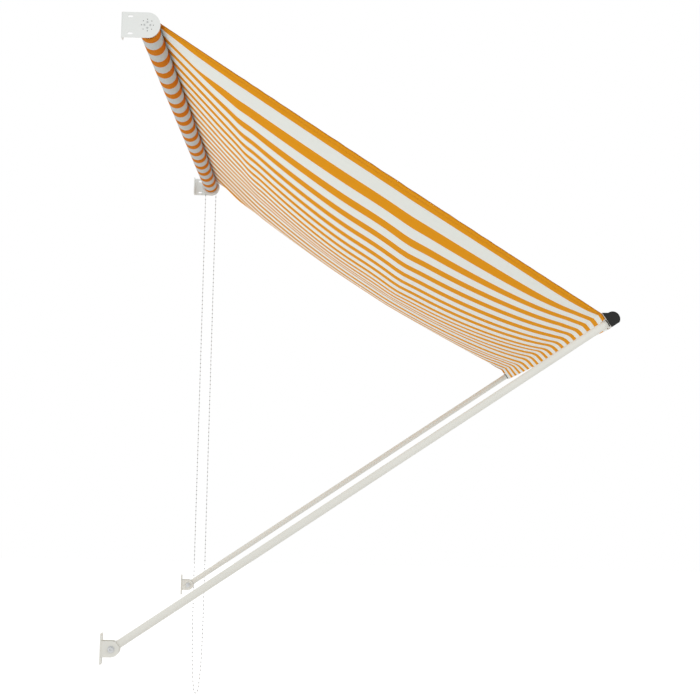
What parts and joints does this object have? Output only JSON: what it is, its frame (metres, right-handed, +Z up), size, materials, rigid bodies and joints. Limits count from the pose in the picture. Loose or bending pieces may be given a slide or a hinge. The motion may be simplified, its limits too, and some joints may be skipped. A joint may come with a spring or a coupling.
{
  "type": "canvas awning",
  "caption": "Striped canvas awning on a wall roller, with drop arms that pivot at lower wall brackets, a round-nosed front bar and a hanging bead chain.",
  "frame": {"origin": "middle of the left upper bracket's wall flange, at the height of the roller's axis", "axes": "+X along the wall towards the chain drive, -Y away from the wall, +Z up"},
  "size_m": [2.003, 1.2653, 1.9956],
  "materials": {
    "bracket_white": "satin white powder coat",
    "white_metal": "satin warm white powder coat",
    "bare_metal": "bare",
    "steel": "zinc plated",
    "white_plastic": "matte white",
    "dark_plastic": "matte dark grey",
    "black_plastic": "matte black",
    "cloth": "woven canvas with orange and white bands",
    "chain_grey": "pale grey beads"
  },
  "bodies": {
    "wall_frame": {"bead_chain": "chain_grey", "bracket_screw_left_1": "steel", "bracket_screw_left_2": "steel", "bracket_screw_left_3": "steel", "bracket_screw_left_4": "steel", "bracket_screw_right_1": "steel", "bracket_screw_right_2": "steel", "bracket_screw_right_3": "steel", "bracket_screw_right_4": "steel", "canopy_cloth": "cloth", "drive_housing": "white_plastic", "drive_spigot": "white_plastic", "idler_spigot": "white_plastic", "lower_bracket_left": "white_metal", "lower_bracket_right": "white_metal", "pivot_bolt_left": "steel", "pivot_bolt_right": "steel", "pivot_nut_left": "steel", "pivot_nut_right": "steel", "pivot_washer_inner_left": "steel", "pivot_washer_inner_right": "steel", "pivot_washer_outer_left": "steel", "pivot_washer_outer_right": "steel", "upper_bracket_left": "bracket_white", "upper_bracket_right": "bracket_white"},
    "roller": {"roller_tube": "bare_metal", "cloth_roll": "cloth", "roller_plug_left": "dark_plastic", "roller_plug_right": "dark_plastic", "chain_wheel": "dark_plastic"},
    "arm_frame": {"front_bar": "white_metal", "cloth_welt": "white_plastic", "arm_tube_left": "white_metal", "arm_tongue_left": "white_plastic", "pivot_bush_left": "dark_plastic", "arm_plug_left": "black_plastic", "arm_screw_left": "steel", "bar_cap_left": "black_plastic", "arm_tube_right": "white_metal", "arm_tongue_right": "white_plastic", "pivot_bush_right": "dark_plastic", "arm_plug_right": "black_plastic", "arm_screw_right": "steel", "bar_cap_right": "black_plastic"}
  },
  "joints": [
    {"name": "arm_swing", "type": "hinge", "parent": "wall_frame", "child": "arm_frame", "pos_m": [0.986, -0.0273, -1.549], "axis": [-1, 0, 0], "range_deg": [0, 54], "deforming": ["canopy_cloth"]},
    {"name": "roller_turn", "type": "hinge", "parent": "wall_frame", "child": "roller", "pos_m": [0.986, -0.066, 0], "axis": [-1, 0, 0], "range_deg": [0, 2760]}
  ],
  "couplings": [
    {"joint": "roller_turn", "follows": "arm_swing", "ratio": 51}
  ]
}
